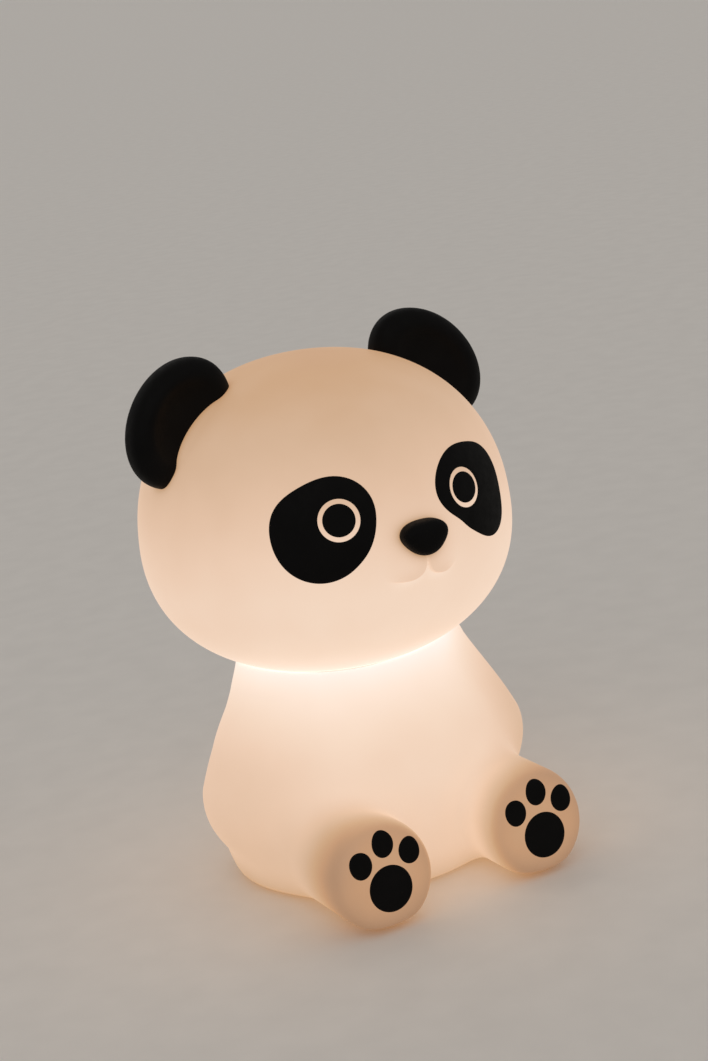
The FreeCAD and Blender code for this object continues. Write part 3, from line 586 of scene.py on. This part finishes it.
def head_glow(points):
    """The head's brightness at each point."""
    bright = smooth_curve(HEAD_GLOW, points[:, 2])
    folded = mirrored(points)
    bright *= 1 - HEAD_SIDE_FALL * eased(folded[:, 0], *HEAD_SIDE)
    reach, fade = lobe_reach(points), lobe_fade(points)
    shade = eased(reach, *LOBE_SHADE_EDGE) * (1 - eased(reach, *LOBE_SHADE_MIDDLE) / 2)
    bright *= 1 - LOBE_SHADE * shade * fade
    bright *= 1 + LIP_GLOW * np.exp(-(reach / LIP_REACH) ** 2) * (reach < 0) * fade
    rise = folded[:, 2] - RING_CENTER[1]
    in_ring = np.hypot(folded[:, 0] - RING_CENTER[0], rise) < RING_REACH
    bright *= 1 - RING_GLOW_SLOPE * np.where(in_ring & (folded[:, 1] < 0), rise, 0)
    bright *= near_black(points, nose, *NOSE_SHADE)
    bright *= near_black(folded, left_ear, *EAR_SHADE)
    return bright


def leg_side_share(forward, root, loss, start, end):
    """The share of light on a leg's side, which falls from its root towards the sole."""
    return root - loss * eased(forward, start, end)


def body_glow(points):
    """The body's brightness at each point, dimmer in the legs and the sides of the arms."""
    bright = smooth_curve(BODY_GLOW, points[:, 2])
    folded = mirrored(points)
    forward = sole_distance(points)
    inward = eased(LEG_ACROSS - folded[:, 0], -LEG_RADIUS, LEG_RADIUS)
    outer_side = leg_side_share(forward, *LEG_OUTER_SIDE)
    inner_side = leg_side_share(forward, *LEG_INNER_SIDE)
    side = outer_side + (inner_side - outer_side) * inward
    around = np.hypot(folded[:, 0] - LEG_ACROSS, folded[:, 2] - LEG_HEIGHT)
    sole = SOLE_SHARE - SOLE_FALL * np.clip(around / LEG_RADIUS, 0, 1) ** 3
    leg_share = side + (sole - side) * eased(forward, *SOLE_EDGE)
    in_leg = eased(torso(points) - legs(points), *LEG_JOIN)
    out_arm = eased(folded[:, 0], *ARM_SIDE) * (1 - in_leg)
    arm_fall = np.where(points[:, 0] > 0, ARM_FALL["left"], ARM_FALL["right"])
    return bright * (1 + (leg_share - 1) * in_leg) * (1 - arm_fall * out_arm)


# ---------------------------------------------------------------- materials

def new_material(name, color, roughness):
    """A material, its node tree and its shader, with its own finish still to be added."""
    material = bpy.data.materials.new(name)
    material.use_nodes = True
    shader = material.node_tree.nodes["Principled BSDF"]
    shader.inputs["Base Color"].default_value = (*color, 1)
    shader.inputs["Roughness"].default_value = roughness
    return material, material.node_tree, shader


def noise(tree, scale, detail=3.0):
    """Noise fixed to the piece, of the given number of spots per metre."""
    place = tree.nodes.new("ShaderNodeTexCoord")
    texture = tree.nodes.new("ShaderNodeTexNoise")
    texture.inputs["Scale"].default_value = scale
    texture.inputs["Detail"].default_value = detail
    tree.links.new(place.outputs["Object"], texture.inputs["Vector"])
    return texture.outputs["Fac"]


def span(tree, source, low, high):
    """The source's middle range stretched to run from low to high."""
    ramp = tree.nodes.new("ShaderNodeMapRange")
    ramp.inputs["From Min"].default_value = NOISE_RANGE[0]
    ramp.inputs["From Max"].default_value = NOISE_RANGE[1]
    ramp.inputs["To Min"].default_value = low
    ramp.inputs["To Max"].default_value = high
    tree.links.new(source, ramp.inputs["Value"])
    return ramp.outputs["Result"]


def vary_color(tree, shader, source, dark, light):
    mix = tree.nodes.new("ShaderNodeMix")
    mix.data_type = "RGBA"
    mix.inputs["A"].default_value = (*dark, 1)
    mix.inputs["B"].default_value = (*light, 1)
    tree.links.new(source, mix.inputs["Factor"])
    tree.links.new(mix.outputs["Result"], shader.inputs["Base Color"])


def add_bump(tree, shader, source, strength, distance):
    bump = tree.nodes.new("ShaderNodeBump")
    bump.inputs["Strength"].default_value = strength
    bump.inputs["Distance"].default_value = distance
    tree.links.new(source, bump.inputs["Height"])
    tree.links.new(bump.outputs["Normal"], shader.inputs["Normal"])


def textured(name, color, roughness, variation, grain, bump, metallic=0.0, specular=0.5):
    """A moulded or metal finish: mottled colour, uneven roughness and a fine grain."""
    material, tree, shader = new_material(name, color, roughness)
    shader.inputs["Metallic"].default_value = metallic
    shader.inputs["Specular IOR Level"].default_value = specular
    broad = span(tree, noise(tree, grain / COLOR_COARSENESS), 0, 1)
    dark = [channel * (1 - variation) for channel in color]
    light = [min(channel * (1 + variation), 1) for channel in color]
    vary_color(tree, shader, broad, dark, light)
    rough = span(tree, noise(tree, grain / ROUGH_COARSENESS), roughness - ROUGH_SPREAD,
                 roughness + ROUGH_SPREAD)
    tree.links.new(rough, shader.inputs["Roughness"])
    add_bump(tree, shader, noise(tree, grain, 4.0), bump, GRAIN_DEPTH)
    return material


def glowing_vinyl():
    """Translucent vinyl lit from inside: its colour goes from tan where dim to near white."""
    material, tree, shader = new_material("glowing_vinyl", VINYL_COLOR, VINYL_ROUGHNESS)
    shader.inputs["Specular IOR Level"].default_value = VINYL_SPECULAR
    value = tree.nodes.new("ShaderNodeAttribute")
    value.attribute_name = "glow"
    mottle = span(tree, noise(tree, MOTTLE_SPOTS, 2.0), -MOTTLE, MOTTLE)
    total = tree.nodes.new("ShaderNodeMath")
    tree.links.new(value.outputs["Fac"], total.inputs[0])
    tree.links.new(mottle, total.inputs[1])
    ramp = tree.nodes.new("ShaderNodeValToRGB")
    elements = ramp.color_ramp.elements
    for element, (position, color) in zip(elements, (GLOW_COLORS[0], GLOW_COLORS[-1])):
        element.position = position
        element.color = (*color, 1)
    for position, color in GLOW_COLORS[1:-1]:
        elements.new(position).color = (*color, 1)
    tree.links.new(total.outputs["Value"], ramp.inputs["Fac"])
    tree.links.new(ramp.outputs["Color"], shader.inputs["Emission Color"])
    shader.inputs["Emission Strength"].default_value = VINYL_EMISSION
    add_bump(tree, shader, noise(tree, VINYL_GRAIN, 2.0), VINYL_GRAIN_STRENGTH, VINYL_GRAIN_DEPTH)
    return material


MATERIALS = {"warm_vinyl": glowing_vinyl()}
for finish_name, finish in FINISHES.items():
    MATERIALS[finish_name] = textured(finish_name, *finish)


def finish_piece(piece, slot_name, body, *replaced):
    """Gives a piece the material named by its slot, hides the CAD nodes it stands for and hangs it
    on the body it rides.
    """
    piece.data.materials.clear()
    piece.data.materials.append(MATERIALS[slot_name])
    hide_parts(*replaced)
    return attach(piece, body)


# ---------------------------------------------------------------- pieces

def build_head():
    """The glowing head, its grid finer at the mouth and round the neck opening."""
    lines = (spaced(-53, 53, SHELL_GRID, [(-13, 13, 0.4)]),
             spaced(-57, 53, SHELL_GRID, [(-55, -45, 0.5)]),
             spaced(56, 143, SHELL_GRID, [(56, 66, 0.6), (86, 99, 0.35)]))
    points, quads = surface_mesh(head_shell, lines)
    piece = mesh_object("glowing_head", points, quads)
    add_number(piece, "glow", head_glow(points))
    return finish_piece(piece, "warm_vinyl", "head", "head_shell")


def build_body():
    """The glowing body, its grid finer at the base and round the neck."""
    lines = (spaced(-52, 52, SHELL_GRID),
             spaced(-59, 41, SHELL_GRID),
             spaced(-1, 66, SHELL_GRID, [(-1, 6, 0.6), (53, 66, 0.6)]))
    points, quads = surface_mesh(body_shell, lines)
    piece = mesh_object("glowing_body", points, quads)
    add_number(piece, "glow", body_glow(points))
    return finish_piece(piece, "warm_vinyl", "body", "body_shell")


def finish_black(name, points, faces, side, body, replaced):
    """A black piece of the panda's left side, or its mirror image."""
    if side < 0:
        points = points * np.array([-1, 1, 1])
        faces = [face[::-1] for face in faces]
    return finish_piece(mesh_object(name, points, faces), "black_vinyl", body, replaced)


def build_form(name, field, box, step, side, replaced):
    """A black piece of the head, meshed from its field inside a box."""
    lines = [spaced(low, high, step) for low, high in box]
    points, quads = surface_mesh(field, lines)
    return finish_black(name, points, quads, side, "head", replaced)


def circle_angles():
    return np.arange(INLAY_TURN) * 2 * np.pi / INLAY_TURN


def repeated(point):
    return np.repeat(point[None], INLAY_TURN, 0)


def eye_curve(side_name, half):
    """An oval round the eye's axis, which stands square to the head's surface."""
    across, height = EYES[side_name][0]
    center = front_curve(plain_head, np.array([across]), np.array([height]))[0]
    outward = gradient(plain_head, center[None])[0]
    outward /= np.linalg.norm(outward)
    sideways = np.cross(np.array([0, 0, 1]), outward)
    sideways /= np.linalg.norm(sideways)
    upward = np.cross(outward, sideways)
    angles = circle_angles()[:, None]
    oval = center + half[0] * np.cos(angles) * sideways - half[1] * np.sin(angles) * upward
    return center, dropped(muzzle_head, oval + EYE_LIFT * outward, -outward)


def patch_curve(side_name):
    """The outline of an eye patch."""
    mean, waves = PATCHES[side_name]
    angles = circle_angles() * -1
    radius = mean + sum(size * np.cos(number * angles - math.radians(phase))
                        for number, (size, phase) in enumerate(waves, 1))
    return front_curve(muzzle_head, PATCH_CENTER[0] + radius * np.cos(angles),
                       PATCH_CENTER[1] + radius * np.sin(angles))


def pad_curve(place, side_name):
    """The outline of a paw pad."""
    across, height, half_width, half_height = place
    shift_across, shift_up = PAD_SHIFT[side_name]
    angles = circle_angles() * -1
    tilt = math.cos(math.radians(SOLE_TILT))
    return front_curve(body_form, across + shift_across + half_width * np.cos(angles),
                       height + shift_up + half_height * tilt * np.sin(angles))


def build_face():
    build_form("nose_button", nose, NOSE_BOX, NOSE_GRID, 1, "nose")
    for side_name, side in SIDES.items():
        build_form(f"ear_{side_name}_black", left_ear, EAR_BOX, EAR_GRID, side, f"ear_{side_name}")
        _, pupil_half, ring_half = EYES[side_name]
        center, pupil_edge = eye_curve(side_name, pupil_half)
        _, ring_edge = eye_curve(side_name, ring_half)
        patch = inlay_mesh(muzzle_head, ring_edge, patch_curve(side_name))
        finish_black(f"eye_patch_{side_name}_black", *patch, side, "head", f"eye_patch_{side_name}")
        pupil = inlay_mesh(muzzle_head, repeated(center), pupil_edge)
        finish_black(f"pupil_{side_name}_black", *pupil, side, "head", f"pupil_{side_name}")


def pad_solids(places, side_name):
    """Several pads of one foot as the points and faces of one mesh."""
    points, faces = [], []
    for place in places:
        edge = pad_curve(place, side_name)
        pad_points, pad_faces = inlay_mesh(body_form, repeated(edge.mean(0)), edge)
        first = sum(len(part) for part in points)
        points.append(pad_points)
        faces += [tuple(first + corner for corner in face) for face in pad_faces]
    return np.concatenate(points), faces


def build_paws():
    for side_name, side in SIDES.items():
        finish_black(f"main_pad_{side_name}_black", *pad_solids([MAIN_PAD], side_name), side,
                     "body", f"main_pad_{side_name}")
        finish_black(f"toe_pads_{side_name}_black", *pad_solids(TOE_PADS, side_name), side,
                     "body", f"toe_pads_{side_name}")


def finish_cad_nodes():
    """Gives every carried-over CAD node the finish of its slot in the record."""
    for entry in frame["record"]["subparts"]:
        node = frame["nodes"][entry["node"]]
        node.data.materials.clear()
        node.data.materials.append(MATERIALS[entry["material_slot"]])


# ---------------------------------------------------------------- studio

CAMERA_TARGET = Vector((0.0058, -0.0049, 0.0906))
CAMERA_DISTANCE = 0.591
CAMERA_AZIMUTH = math.radians(-27.31)
CAMERA_ELEVATION = math.radians(14.93)
CAMERA_ROLL = math.radians(-7.73)
CAMERA_LENS = 74.7
FLOOR_HALF = 60.0
# Name, azimuth and elevation in degrees, spread in degrees, power and colour
LIGHTS = [("key", -38, 40, 50, 0.30, (1.0, 0.97, 0.93)),
          ("fill", 35, 40, 60, 0.10, (1.0, 0.96, 0.92)),
          ("back", 160, 35, 50, 0.10, (1.0, 0.97, 0.94))]
BACKDROP_COLOR = (1.0, 0.97, 0.94)
BACKDROP_STRENGTH = 0.38


def view_direction(azimuth, elevation):
    """The direction from the object to something that looks at it, azimuth 0 being the front."""
    reach = math.cos(elevation)
    return Vector((math.sin(azimuth) * reach, -math.cos(azimuth) * reach, math.sin(elevation)))


def build_camera():
    camera = bpy.data.objects.new("camera", bpy.data.cameras.new("camera"))
    bpy.context.scene.collection.objects.link(camera)
    back = view_direction(CAMERA_AZIMUTH, CAMERA_ELEVATION)
    level = Vector((math.cos(CAMERA_AZIMUTH), math.sin(CAMERA_AZIMUTH), 0))
    upright = back.cross(level)
    right = level * math.cos(CAMERA_ROLL) + upright * math.sin(CAMERA_ROLL)
    frame_axes = Matrix((right, back.cross(right), back)).transposed()
    place = Matrix.Translation(CAMERA_TARGET + back * CAMERA_DISTANCE)
    camera.matrix_world = place @ frame_axes.to_4x4()
    camera.data.lens = CAMERA_LENS
    camera.data.clip_start = 0.01
    camera.data.dof.use_dof = False
    bpy.context.scene.camera = camera


def build_floor():
    """A wide pale sheet that lies flat."""
    corners = [(-FLOOR_HALF, -FLOOR_HALF, 0), (FLOOR_HALF, -FLOOR_HALF, 0),
               (FLOOR_HALF, FLOOR_HALF, 0), (-FLOOR_HALF, FLOOR_HALF, 0)]
    mesh = bpy.data.meshes.new("studio_floor")
    mesh.from_pydata(corners, [], [(0, 1, 2, 3)])
    mesh.shade_smooth()
    floor = bpy.data.objects.new("studio_floor", mesh)
    bpy.context.scene.collection.objects.link(floor)
    mesh.materials.append(textured("floor_paper", *FLOOR_FINISH))


def add_light(name, azimuth, elevation, spread, power, color):
    """A broad soft light, so far away that it falls evenly."""
    light = bpy.data.lights.new(name, "SUN")
    light.angle = math.radians(spread)
    light.energy = power
    light.color = color
    lamp = bpy.data.objects.new(name, light)
    bpy.context.scene.collection.objects.link(lamp)
    direction = view_direction(math.radians(azimuth), math.radians(elevation))
    lamp.rotation_euler = direction.to_track_quat("Z", "Y").to_euler()


def build_lights():
    for light in LIGHTS:
        add_light(*light)
    world = bpy.data.worlds.new("studio")
    world.use_nodes = True
    backdrop = world.node_tree.nodes["Background"]
    backdrop.inputs["Color"].default_value = (*BACKDROP_COLOR, 1)
    backdrop.inputs["Strength"].default_value = BACKDROP_STRENGTH
    bpy.context.scene.world = world


bpy.context.scene.view_settings.view_transform = "Standard"
build_camera()
build_floor()
build_lights()
build_head()
build_body()
build_face()
build_paws()
finish_cad_nodes()
